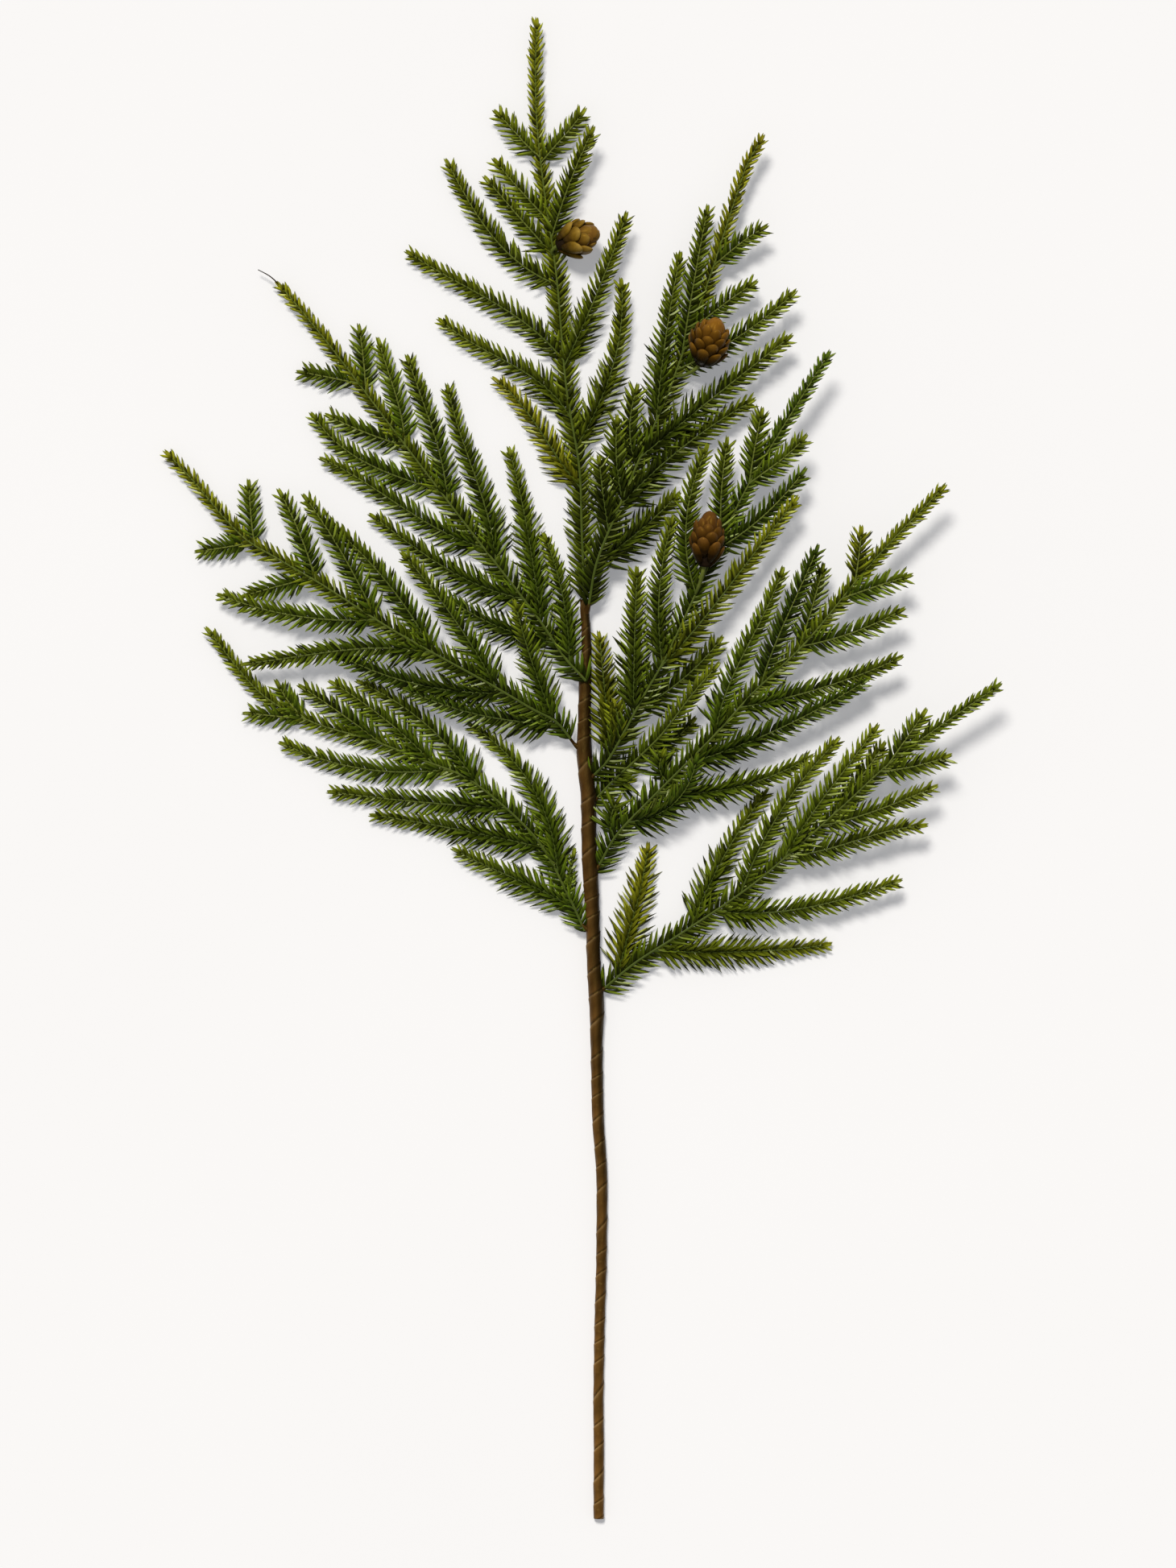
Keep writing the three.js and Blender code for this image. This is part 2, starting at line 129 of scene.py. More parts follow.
# Branches. route: main axis from the stem outwards, [x, y, z].
# twigs: [share of the route where it forks off, tip x, tip y, tip z, how far it passes to the left of the
# straight line at one third and at two thirds of the way, fullness].
BRANCHES = {
    "leader": {
        "route": [
            [1.5, 88, 7], [0.2, 123, 6.5], [-1.2, 157, 6], [-8, 199, 5.5], [-13, 256, 5.5],
            [-19, 298, 5.5], [-23, 333, 5.5], [-24, 363, 6.5], [-23, 391, 8],
        ],
        "twigs": [
            [0.19, -47, 204, 5, -1, -3], [0.26, 20.5, 255, 14, -6.5, -7.2],
            [0.31, -75, 235, 5, -4.9, -1.1], [0.4, 24, 289, 18, -1.3, -1.3],
            [0.41, -92, 270, 5, -4.6, -2.1], [0.54, -71, 318, 5, 8.4, 6.6],
            [0.59, -51, 309, 5, 0.4, 0.4], [0.62, 7, 333, 20, 1.3, 1.3],
            [0.65, -46, 318, 8, 0.5, 0.7], [0.75, 2.5, 344, 9, -0.3, -0.8],
            [0.76, -46, 343, 7, 0.5, 0],
        ],
    },
    "right_upper_branch": {
        "route": [
            [4, 86, 10.5], [8, 107, 16], [18, 132, 15], [29, 158, 13], [45, 195, 11], [58, 231, 10],
            [68, 259, 11], [80, 296, 14], [86, 313, 16], [95, 329, 18],
        ],
        "twigs": [
            [0.08, 52, 144, 8, -1.3, -1.3, 1.15], [0.15, 9, 163, 16, 0.4, 0.4, 1.1],
            [0.2, 91, 192, 11, 3.6, 3.6, 1.15], [0.22, 19, 184, 15, 1.8, 1.8, 1.1],
            [0.29, 30, 200, 14, 3.6, 3.6, 1.1], [0.31, 110, 225, 18, 0.4, 0.4, 1.1],
            [0.39, 52, 269, 12, 1.3, 1.3], [0.5, 112, 248, 20, -3.1, -3.1],
            [0.53, 66, 293, 14, 0.4, 0.4], [0.58, 92, 253, 16, 0.9, 0.9],
            [0.72, 97.5, 281.5, 18, 0.9, 1.2],
        ],
    },
    "right_middle_branch": {
        "route": [
            [7, -3, 9], [15, 6, 13], [32, 37, 17], [45, 60, 18], [66, 105, 18], [85, 144, 19],
            [104, 176, 22], [129, 216, 28],
        ],
        "twigs": [
            [0.05, 9, 72, 5, -0.2, -0.2, 1.1], [0.07, 16, 37, 12, -2.2, -2.2, 1.1],
            [0.15, 29, 105, 22, 0.4, 0.4, 1.1], [0.16, 74, 69, 9, -3.1, -3.1, 1.1],
            [0.26, 113, 141, 22, -1.5, -0.5], [0.27, 48, 131, 24, 4, 4],
            [0.43, 66, 168, 26, 7.5, 7], [0.53, 117, 156, 20, -3.3, -3],
            [0.55, 76, 172, 25, 1.3, 1.3], [0.68, 94, 187, 26, 0.4, 0.4],
            [0.68, 117, 173, 26, -1, -1.5],
        ],
    },
    "right_inner_branch": {
        "route": [
            [8.5, -15, 6], [18, -5, 7], [29, 5, 9], [42, 18, 15], [58, 39, 22], [72, 55, 25],
        ],
        "twigs": [
            [0.12, 29, -5, 6, -1.3, -1.3, 1.15], [0.32, 60, 27, 5, -2.7, -2.7],
        ],
    },
    "right_long_branch": {
        "route": [
            [9.5, -50, 7], [18, -35, 11], [33, -19, 13], [68, 16, 13], [89, 39, 14], [117, 66, 17],
            [150, 106, 21], [189, 147, 27],
        ],
        "twigs": [
            [0.06, 22, -14, 14, 3.6, 3.6, 1.15], [0.1, 60, 8, 26, -9, -9],
            [0.18, 121, 7, 17, -6, -6], [0.21, 45, 10, 17, 4, 4, 1.1],
            [0.26, 150, 47, 22, -3.5, -3.5], [0.34, 105, 105, 16, 2.8, 0.4],
            [0.41, 167, 58, 24, -2.7, -2.7], [0.47, 123, 116, 27, 1.2, 0.5],
            [0.57, 126, 107, 17, -0.5, -0.5], [0.58, 168, 83, 24, -2.2, -2.2],
            [0.7, 172, 100, 24, 0.4, 0.4], [0.74, 145, 126, 26, -0.4, -0.4],
        ],
    },
    "right_lower_branch": {
        "route": [
            [12.5, -114, 6], [29, -100.5, 8], [54, -84.5, 9], [92, -58, 13], [134, -21, 19],
            [159, 2, 22], [188, 23.5, 26], [217.5, 44, 30],
        ],
        "twigs": [
            [0.03, 35, -38, 4, -0.8, -1.5, 1.1], [0.12, 131, -91.5, 4, -1.8, -2.2],
            [0.21, 98, -10, 4, 2.7, 2.7], [0.27, 167, -58, 16, -6, -4.9],
            [0.33, 134, 16, 28, 4.9, 4.9], [0.44, 154, 23, 28, 1.5, 0.8],
            [0.45, 180, -30, 20, -0.7, 1.5], [0.54, 185, -9, 24, -1.8, -1.3],
            [0.57, 158, 14, 20, -0.4, -0.4], [0.7, 192, 7, 26, -1.3, -1.3],
            [0.72, 179, 31, 27, 0, 0],
        ],
    },
    "left_upper_branch": {
        "route": [
            [-1, 49, 10.5], [-9, 58, 9], [-24, 80, 6.5], [-56.5, 122, 5], [-92, 168.5, 5],
            [-131, 220, 5], [-159, 254, 5.5],
        ],
        "twigs": [
            [0.03, -20, 123, 12, -3.1, -3.1, 0.9], [0.08, -73, 91, 5, 3.5, 3.5],
            [0.13, -38, 168, 5, -1.4, -1.6], [0.19, -111, 133, 5, 5.6, 4.2],
            [0.28, -70, 201, 5, -2.2, 0], [0.32, -137, 162, 5, 2.8, 0.3],
            [0.44, -91, 216, 5, -2.7, -1.5], [0.465, -141, 186, 5, 6.1, 7.7],
            [0.575, -134, 185, 5, 1, 1.2], [0.58, -106, 225, 5, -1.8, -0.8],
            [0.71, -116, 232, 5, -0.4, -0.4], [0.735, -149, 207, 5, 0, 0],
        ],
    },
    "left_middle_branch": {
        "route": [
            [-4, 13, 8], [-13, 24, 11], [-26, 31, 14], [-49, 44.5, 15.5], [-95, 70, 15.5],
            [-135, 95.5, 12], [-158, 109, 9], [-178, 122, 7], [-202.5, 150, 5], [-217.5, 166, 5.5],
        ],
        "twigs": [
            [0.05, -93, 42, 15, 4.4, 4.4], [0.06, -35, 88, 18, 1.3, 1.3],
            [0.17, -137, 65, 12, 6.7, 6.7], [0.19, -94, 113, 15, -2.2, -2.2],
            [0.33, -137, 132, 7, -4.4, -4.4], [0.33, -177, 54, 15, -4.4, -2.6],
            [0.46, -145, 143, 12, -1.8, -1.8], [0.46, -190, 91, 9, 4.4, 4.4],
            [0.6, -158, 146, 8, -1.3, -1.3], [0.61, -178, 89, 6, -0.4, -0.4],
            [0.74, -173, 151, 6, 0.6, 0.6], [0.75, -202, 113, 5, 0.4, 0.4],
        ],
    },
    "left_lower_branch": {
        "route": [
            [0, -81, 7], [-7, -66, 7], [-24, -36, 5], [-56, -7.5, 5], [-82, 4, 5], [-110.5, 15, 5],
            [-140, 24, 5], [-167.5, 39.5, 5], [-196, 74, 5.5],
        ],
        "twigs": [
            [0.03, -68, -41, 5, -0.9, 0.3], [0.06, -3, -41, 6, 0.9, 0.9, 0.45],
            [0.11, -60, 24, 5, -10.7, -10.7], [0.17, -111, -24, 5, -0.9, -0.9],
            [0.28, -133, -12, 5, 1, 1], [0.35, -118, 46, 5, -5.8, -5.8],
            [0.42, -158, 14, 5, 6.2, 6.2], [0.45, -132, 46, 5, -2.2, -2.2],
            [0.56, -148, 44, 5, -0.4, -0.4], [0.72, -159, 47, 5, 1.8, 1.8],
            [0.72, -177, 29, 5, 0, 0],
        ],
    },
}
# Length of a branch's foot that carries no needles; below zero they start on the collar
BARE_FOOT = {
    "leader": 0, "right_upper_branch": -2, "right_middle_branch": -5, "right_inner_branch": -5,
    "right_long_branch": -5, "right_lower_branch": -3, "left_upper_branch": -5, "left_middle_branch": 3,
    "left_lower_branch": -4,
}
# A bare thread past a branch's tip
THREADS = {"left_upper_branch": [[-156, 250.5, 5.5], [-162, 256, 6], [-168.4, 259.6, 5.5]]}
THREAD_RADIUS = (0.45, 0.25)
THREAD_STEP = 1.5
STALK_RADIUS = (0.95, 0.75)  # brown foot of a branch below its first needles
# Tints: -1 dark, 0 plain, 1 yellowish, 2 amber. BRANCH_TINT is a whole branch's, and TINTS has those of
# single twigs by their place in the list.
BRANCH_TINT = {
    "leader": 0.2, "right_upper_branch": 0.05, "right_middle_branch": 0.05, "right_inner_branch": 0.1,
    "right_lower_branch": 0.12,
}
TINTS = {
    "leader": {0: 0.8, 4: 0.2},
    "right_middle_branch": {0: 0.45, 1: 0.3, 4: 0.4, 7: -0.3},
    "right_long_branch": {1: -0.9, 4: -0.7, 7: -0.9, 11: 0.45},
    "right_lower_branch": {0: 0.65, 1: 0.25},
    "left_upper_branch": {1: -0.7},
    "left_middle_branch": {0: -0.7, 2: -0.7},
}
TIP_TINT = 0.34  # a twig's tip is yellower than its foot by this much
AXIS_TIP_TINT = {  # and the end of a branch's main axis by this much
    "leader": 0.6, "right_upper_branch": 1.1, "right_middle_branch": -0.15,
    "right_inner_branch": 0.3, "right_long_branch": 0.65, "right_lower_branch": 0.1,
    "left_upper_branch": 0.9, "left_middle_branch": 0.9, "left_lower_branch": 0.45,
}

# Cones. scales: how many; turn: share of a full turn from one scale to the next; half_width and half_thick
# of a scale; reach: a scale's length as a share of the cone's; spread: how far the rims stand out; twig:
# where the stalk leaves the branch.
CONES = {
    "top_cone": {
        "middle": (-2, 275, 14.2), "towards": (0.85, 0.25, 0.3), "length": 23, "radius": 10.5,
        "twig": (-15, 267, 5.5),
        "scales": 28, "turn": 0.382, "half_width": 4.3, "half_thick": 1.3, "reach": 0.46, "spread": 1.1},
    "upper_cone": {
        "middle": (66, 220, 28.2), "towards": (0.3, 0.85, 0.35), "length": 26, "radius": 11,
        "twig": (48.5, 203.5, 10.8),
        "scales": 46, "turn": 1 / 7.5, "half_width": 3.7, "half_thick": 1.2, "reach": 0.36, "spread": 1.1},
    "middle_cone": {
        "middle": (65, 118, 30.6), "towards": (0.1, 0.95, 0.15), "length": 28, "radius": 9.8,
        "twig": (59, 90, 18),
        "scales": 38, "turn": 0.382, "half_width": 4.0, "half_thick": 1.35, "reach": 0.36, "spread": 1.02},
}


class Path:
    """A curve given by many points, read by the distance along it."""

    def __init__(self, points):
        self.points = np.asarray(points, float)
        steps = np.linalg.norm(np.diff(self.points, axis=0), axis=1)
        self.reach = np.concatenate([[0.0], np.cumsum(steps)])
        self.length = self.reach[-1]
        slopes = np.gradient(self.points, self.reach, axis=0)
        self.slopes = slopes / np.linalg.norm(slopes, axis=1, keepdims=True)

    def mix(self, rows, along):
        """Rows given at the curve's points, read at the given distances."""
        return np.stack([np.interp(along, self.reach, column) for column in rows.T], -1)

    def frame(self, along):
        """Place, direction ahead, direction to the right and direction above, at the given distances.
        Before its start the curve goes straight back."""
        ahead = unit(self.mix(self.slopes, along))
        across = unit(np.cross(ahead, UP))
        place = self.mix(self.points, along) + np.minimum(along, 0)[:, None] * self.slopes[0]
        return place, ahead, across, np.cross(across, ahead)


def unit(vectors):
    """The same directions with a length of one."""
    return vectors / np.linalg.norm(vectors, axis=-1, keepdims=True)


def route_points(places, steps=16):
    """Smooth curve through the places: between two neighbours it is a cubic, and its slope at a place is
    half the step from the place before to the place after."""
    inner = np.asarray(places, float)
    padded = np.vstack([2 * inner[0] - inner[1], inner, 2 * inner[-1] - inner[-2]])
    count = len(inner) - 1
    before, start, end, after = (padded[i:i + count, None] for i in range(4))
    share = np.linspace(0, 1, steps, endpoint=False)[None, :, None]
    leave, arrive = (end - before) / 2, (after - start) / 2
    bend = 3 * (end - start) - 2 * leave - arrive
    twist = 2 * (start - end) + leave + arrive
    curve = start + share * (leave + share * (bend + share * twist))
    return np.vstack([curve.reshape(-1, inner.shape[1]), inner[-1]])


def twig_points(fork, tip, near, far, steps=24):
    """Cubic curve from fork to tip that passes near and far to the left of the straight line at one third
    and two thirds of the way."""
    left = unit(np.cross(UP, tip - fork))
    first = fork + (tip - fork) / 3 + left * (3 * near - 1.5 * far)
    second = fork + (tip - fork) * 2 / 3 + left * (3 * far - 1.5 * near)
    share = np.linspace(0, 1, steps + 1)[:, None]
    rest = 1 - share
    return rest**3 * fork + 3 * rest**2 * share * first + 3 * rest * share**2 * second + share**3 * tip


def loft(rings):
    """Closed skins over rings of corners: neighbouring rings are joined by quads, and each end ring is
    filled by a strip of quads. rings has the shape (skins, rings, corners, 3)."""
    skins, rows, corners, _ = rings.shape
    row, corner = np.meshgrid(np.arange(rows - 1), np.arange(corners), indexing="ij")
    after = (corner + 1) % corners
    low, high = row * corners, (row + 1) * corners
    sides = np.stack([low + corner, low + after, high + after, high + corner], -1).reshape(-1, 4)
    strip = np.arange(corners // 2 - 1)
    end = np.stack([strip, strip + 1, corners - 2 - strip, corners - 1 - strip], -1)
    faces = np.vstack([sides, end[:, ::-1], end + (rows - 1) * corners])
    return (faces[None] + np.arange(skins)[:, None, None] * rows * corners).reshape(-1, 4)


def blades(feet, ahead, face, length, half_width, half_thick, outline, corners=4,
           incurve=0.0, lift=0.0, camber=0.0):
    """Pointed blades, one for each foot: along the blade its middle runs straight ahead, leans to its own
    side by incurve and towards its face by lift, both with the square of the way, and its oval section
    follows the outline. camber bends the section's edges away from the face."""
    side = np.cross(face, ahead)
    share, wide, thick = (np.array(column)[None, :, None, None] for column in zip(*outline))
    angle = (np.arange(corners) / corners * 2 * math.pi)[None, None, :, None]
    size = np.reshape(length, (-1, 1, 1, 1))
    across = wide * np.reshape(half_width, (-1, 1, 1, 1)) * np.cos(angle)
    above = thick * np.reshape(half_thick, (-1, 1, 1, 1)) * np.sin(angle)
    sag = camber * across**2 / np.reshape(half_width, (-1, 1, 1, 1))
    feet, ahead, face, side = (part[:, None, None, :] for part in (feet, ahead, face, side))
    middle = feet + size * share * ahead + size * share**2 * (np.reshape(incurve, (-1, 1, 1, 1)) * side)
    middle = middle + size * share**2 * (np.reshape(lift, (-1, 1, 1, 1)) * face)
    return middle + across * side + (above - sag) * face


def above_table(rings):
    """The same rings, each one raised until it clears the table."""
    low = rings[..., 2].min(axis=2)
    rings[..., 2] += np.maximum(LOWEST - low, 0)[..., None]
    return rings


def tube(path, start, stop, radii, sides, step, lift=0.0):
    """Round tube along part of a path, or a little above it, tapering evenly from the first radius to the
    second."""
    along = np.linspace(start, stop, max(2, round((stop - start) / step) + 1))
    place, _, across, above = path.frame(along)
    radius = np.linspace(*radii, len(along))[:, None, None]
    angle = (np.arange(sides) / sides * 2 * math.pi)[None, :, None]
    ring = np.cos(angle) * above[:, None] - np.sin(angle) * across[:, None]
    return (place[:, None] + lift * above[:, None] + radius * ring)[None]


class Bundle:
    """Collects the skins of one piece with the marks that its materials read: tint and tone of each skin,
    share of the way along it, and two values for each corner of its rings."""

    def __init__(self):
        self.places, self.faces, self.materials = [], [], []
        self.marks = {"tint": [], "tone": [], "along": [], "corner": [], "side": []}
        self.count = 0

    def add(self, rings, material, tint=0.0, tone=0.5, along=None, corner=0.0, side=0.0):
        """tint and tone are given for all skins or for each one, along for all rings or for each one,
        corner and side for all rings, for each corner or for each ring and corner."""
        skins, rows, corners, _ = rings.shape
        faces = loft(rings)
        self.places.append(rings.reshape(-1, 3))
        self.faces.append(faces + self.count)
        self.materials.append(np.full(len(faces), material))
        self.count += skins * rows * corners
        if along is None:
            along = np.linspace(0, 1, rows)
        values = {
            "tint": np.reshape(tint, (-1, 1, 1)),
            "tone": np.reshape(tone, (-1, 1, 1)),
            "along": np.reshape(along, (1, -1, 1)),
            "corner": np.asarray(corner),
            "side": np.asarray(side),
        }
        for name, value in values.items():
            self.marks[name].append(np.broadcast_to(value, (skins, rows, corners)).ravel())

    def piece(self, name, materials, smooth=False):
        """The collected skins as one mesh object, in metres."""
        places = np.concatenate(self.places) * MM
        faces = np.concatenate(self.faces)
        mesh = bpy.data.meshes.new(name)
        mesh.vertices.add(len(places))
        mesh.vertices.foreach_set("co", places.ravel())
        mesh.loops.add(faces.size)
        mesh.loops.foreach_set("vertex_index", faces.ravel().astype(np.int32))
        mesh.polygons.add(len(faces))
        mesh.polygons.foreach_set("loop_start", np.arange(0, faces.size, 4, dtype=np.int32))
        mesh.polygons.foreach_set("material_index", np.concatenate(self.materials).astype(np.int32))
        mesh.polygons.foreach_set("use_smooth", np.full(len(faces), smooth))
        for mark, values in self.marks.items():
            attribute = mesh.attributes.new(mark, "FLOAT", "POINT")
            attribute.data.foreach_set("value", np.concatenate(values).astype(np.float32))
        for material in materials:
            mesh.materials.append(material)
        mesh.update()
        mesh.validate()
        item = bpy.data.objects.new(name, mesh)
        bpy.context.scene.collection.objects.link(item)
        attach(item, "root")
        return item


def fade(share, pair):
    """From the first value to the second, slowly at first."""
    return pair[0] + (pair[1] - pair[0]) * share**2


def row_needles(bundle, path, rows, start, stop, fullness, tints, out, inner_shade, brighter=0.0):
    """Rows of needles along a path, shorter and closer to the twig towards its tip. tints and out hold the
    first and last value of the tint and of how far out in the branch a needle sits; inner_shade darkens the
    needles near the branch's foot as painted shade, and brighter is added to the tone of them all."""
    for angle, delay, long_share, lean_share, roll, tone in rows:
        along = np.arange(start + delay * PITCH, stop, PITCH)
        count = len(along)
        if count == 0:
            continue
        along = along + RNG.normal(0, SPREAD["along"], count)
        share = np.clip(along / path.length, 0, 1)
        inner = 1 - out[0] - (out[1] - out[0]) * share
        length = fade(share, NEEDLE_LENGTH) * long_share * fullness * (1 + INNER_LENGTH * inner)
        length = length * RNG.normal(1, SPREAD["length"], count)
        lean = np.radians(fade(share, NEEDLE_LEAN) * lean_share + RNG.normal(0, SPREAD["lean"], count))
        turn = np.radians(angle + RNG.normal(0, SPREAD["turn"], count))
        # painted shade: a row's low tone and inner_shade darken the needles
        tones = tone + brighter - inner_shade * inner
        set_needles(bundle, path, along, turn, lean, length, roll, fade(share, tints), tones)


def set_needles(bundle, path, along, turn, lean, length, roll, tint, tone):
    """Needles at the given distances: turn about the twig, lean off it, roll about their own length."""
    count = len(along)
    place, ahead, across, above = path.frame(along)
    radial = across * np.cos(turn)[:, None] + above * np.sin(turn)[:, None]
    towards = ahead * np.cos(lean)[:, None] + radial * np.sin(lean)[:, None]
    flat = unit(np.cross(radial, ahead))
    edge = np.cross(flat, towards)
    spin = np.radians(roll + RNG.normal(0, SPREAD["roll"], count))[:, None]
    face = flat * np.cos(spin) + edge * np.sin(spin)
    half_width = HALF_WIDTH * RNG.normal(1, SPREAD["width"], count)
    feet = place + radial * FOOT_RADIUS
    rings = blades(feet, towards, face, length, half_width, HALF_THICK, NEEDLE_OUTLINE, incurve=INCURVE)
    along_needle = [row[0] for row in NEEDLE_OUTLINE]
    tones = tone + TONE_SPREAD * (RNG.random(count) - 0.5)
    bundle.add(above_table(rings), NEEDLE, tint=tint, tone=tones, along=along_needle, corner=NEEDLE_HIGHLIGHTS)


def tuft(bundle, path, tint):
    """Needles that close a twig's tip and reach its very end."""
    along = np.full(TUFT, path.length - TUFT_BACK)
    turn = np.radians(np.arange(TUFT) / TUFT * 360 + TUFT_TURN)
    lean = np.radians(np.linspace(*TUFT_LEAN, TUFT))
    length = np.linspace(*TUFT_SHARES, TUFT) * TUFT_BACK
    set_needles(bundle, path, along, turn, lean, length, 0, np.full(TUFT, tint), TUFT_TONE)


def branch(name, needle, rib, bark):
    """One branch: a ribbed main axis and twigs, all with rows of needles, and where it has them a bare brown
    foot and a bare thread at its tip."""
    bundle = Bundle()
    shape = BRANCHES[name]
    plain = BRANCH_TINT.get(name, 0.0)
    # painted shade of the needles near the branch's foot
    dark = INNER_SHADE[name]
    axis = Path(route_points(shape["route"]))
    bare, end = BARE_FOOT[name], axis.length - TUFT_BACK
    if bare > 0:
        bundle.add(tube(axis, 0, bare + TWIG_FOOT, STALK_RADIUS, RIB_SIDES, THREAD_STEP), BARK)
    bundle.add(tube(axis, bare, end, AXIS_RADIUS, RIB_SIDES, RIB_STEP, RIB_LIFT), RIB, tone=AXIS_TONE)
    tints = (plain, plain + AXIS_TIP_TINT[name])
    row_needles(bundle, axis, ROWS, bare, end, 1.0, tints, (0.0, 1.0), dark)
    tuft(bundle, axis, tints[1])
    for place, (share, x, y, z, near, far, *rest) in enumerate(shape["twigs"]):
        fullness = rest[0] if rest else 1.0
        fork = axis.frame(np.array([share * axis.length]))[0][0]
        twig = Path(twig_points(fork, np.array([x, y, z], float), near, far))
        tint = TINTS.get(name, {}).get(place, plain)
        tints = (tint, tint + TIP_TINT)
        out = (share, 1.0)
        brighter = RNG.normal(0, TWIG_TONE)
        end = twig.length - TUFT_BACK
        bundle.add(tube(twig, 0, end, RIB_RADIUS, RIB_SIDES, RIB_STEP, RIB_LIFT), RIB, tone=share)
        row_needles(bundle, twig, ROWS, TWIG_FOOT, end, fullness, tints, out, dark, brighter)
        back = (BACK_END + RNG.normal(0, BACK_SPREAD) - share) / (1 - share) * twig.length
        row_needles(bundle, twig, BACK_ROWS, TWIG_FOOT, back, fullness, tints, out, dark, brighter)
        tuft(bundle, twig, tints[1])
    if name in THREADS:
        thread = Path(route_points(THREADS[name]))
        bundle.add(tube(thread, 0, thread.length, THREAD_RADIUS, RIB_SIDES, THREAD_STEP), BARK)
    item = bundle.piece(name + "_needles", [needle, rib, bark])
    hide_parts(name)


# Stem: step between the rings of its skin and their corners, wrapping tape and wrinkles
STEM_RING = 0.6
STEM_SIDES = 32
TAPE_PITCH = 13.0
TAPE_WANDER = (0.25, 17.0, 0.15, 7.3)  # uneven winding: two waves, each a share of a turn and a length
TAPE_EDGE = 0.08  # height of the tape's edge, as a share of the stem's radius
TAPE_RISE = 4  # power with which the tape rises to its edge
TAPE_SINK = 0.2  # share of that height by which its other edge sinks in
WRINKLE = 0.12  # height of the wrinkles
WRINKLE_WAVES = (3, 5.3, 2, 3.1)  # two crossing waves, each by its count round the stem and its length
COLLAR_RADII = (2.3, 0.85)  # in the stem and at the branch's foot
COLLAR_SLANT = 5.0  # it starts in the stem beside a place this far behind the foot
COLLAR_SIDES = 12
COLLAR_STEP = 1.0
COLLAR_TAPE = 0.5  # its colour is the tape's at this share of its width
BOW_PLACES = 13  # places that make a collar's or a cone stalk's curve


def stem(bark):
    """The stem: rings carried along its path, each turned on from the one before so that their corners
    follow the winding of a tape. The radius rises across the tape to its edge, and long wrinkles wave
    around it. A tapered collar leads to the foot of each branch."""
    stations = np.asarray(STEM, float)
    path = Path(route_points(stations[:, :3]))
    radii = route_points(stations)[:, 3:]
    along = np.linspace(0, path.length, round(path.length / STEM_RING) + 1)
    place, _, across, above = path.frame(along)
    radius = path.mix(radii, along)
    first, first_length, second, second_length = TAPE_WANDER
    wander = first * np.sin(along / first_length) + second * np.sin(along / second_length)
    turns = along / TAPE_PITCH + wander
    winding = np.arange(STEM_SIDES) / STEM_SIDES
    angle = 2 * math.pi * (winding[None] - turns[:, None])
    edge = TAPE_EDGE * radius * (winding[None]**TAPE_RISE - TAPE_SINK)
    round_one, length_one, round_two, length_two = WRINKLE_WAVES
    waves = np.sin(round_one * angle + along[:, None] / length_one)
    waves = waves * np.sin(round_two * angle + along[:, None] / length_two)
    thick = (radius + edge + WRINKLE * waves)[..., None]
    ring = np.cos(angle)[..., None] * above[:, None] - np.sin(angle)[..., None] * across[:, None]
    bundle = Bundle()
    rings = above_table((place[:, None] + thick * ring)[None])
    # side runs from -1 on the left to 1 on the right, for the bark's painted shade
    bundle.add(rings, 0, corner=np.broadcast_to(winding, angle.shape), side=-np.sin(angle))
    for name, shape in BRANCHES.items():
        if name != "leader":
            bundle.add(collar(path, Path(route_points(shape["route"]))), 0, corner=COLLAR_TAPE)
    item = bundle.piece("stem_bark", [bark], smooth=True)
    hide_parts("stem")


def bow(start, middle, end):
    """Quadratic curve from start to end, drawn towards the middle place."""
    share = np.linspace(0, 1, BOW_PLACES)[:, None]
    return Path((1 - share)**2 * start + 2 * share * (1 - share) * middle + share**2 * end)


def collar(stem_path, branch_path):
    """A tapered tube on a quadratic curve from inside the stem to a branch's foot."""
    foot = branch_path.points[0]
    behind = foot - branch_path.slopes[0] * COLLAR_SLANT
    inside = stem_path.points[np.argmin(np.linalg.norm(stem_path.points - behind, axis=1))]
    path = bow(inside, (foot + behind) / 2, foot)
    return tube(path, 0, path.length, COLLAR_RADII, COLLAR_SIDES, COLLAR_STEP)


# Cones: outline of a scale as share of its length, share of its width, share of its thickness
SCALE_OUTLINE = [(0.0, 0.5, 0.4), (0.25, 0.8, 0.8), (0.5, 1.0, 1.0), (0.73, 0.92, 1.0), (0.88, 0.64, 0.78),
                 (0.96, 0.34, 0.48), (1.0, 0.09, 0.13)]
SCALE_CORNERS = 12
SCALE_CAMBER = 0.3
SCALE_LIFT = -0.1
CONE_BULGE = 0.47  # the widest place, as a share of the length
CONE_ENDS = 1.06  # length of the oval, as a share of the cone's
SCALE_ROOT = 0.62  # a scale starts at this share of the cone's girth
SCALE_SPREAD = 0.05  # random spread of a scale's length and width
NARROWEST = 0.85  # narrowest scales near the cone's ends, as a share of the widest
THINNEST = 0.01  # square of the least girth, as a share of the radius
CORE = (0.0, 0.78, 0.6)  # start, end and girth of the core, as shares of the cone's
BUD = (0.6, 0.97, 0.48)  # and of the bud that closes its tip
BUD_MARKS = {"tint": 0.9, "along": 0.8}  # it has the colour of scales near the tip
CORE_SIDES = 16
CORE_STEP = 1.2
LAST_SCALE = 0.84  # where the last scale starts and the scales end, as shares of the length
SCALES_END = 1.03
SCALE_CROWD = 0.8  # power by which the scales crowd towards the tip
CONE_STALK = (0.8, 1.3)  # radius at the branch and at the cone
STALK_BEND = 6.0  # the stalk heads for a place this far behind the cone
STALK_SIDES = 10
STALK_STEP = 1.2


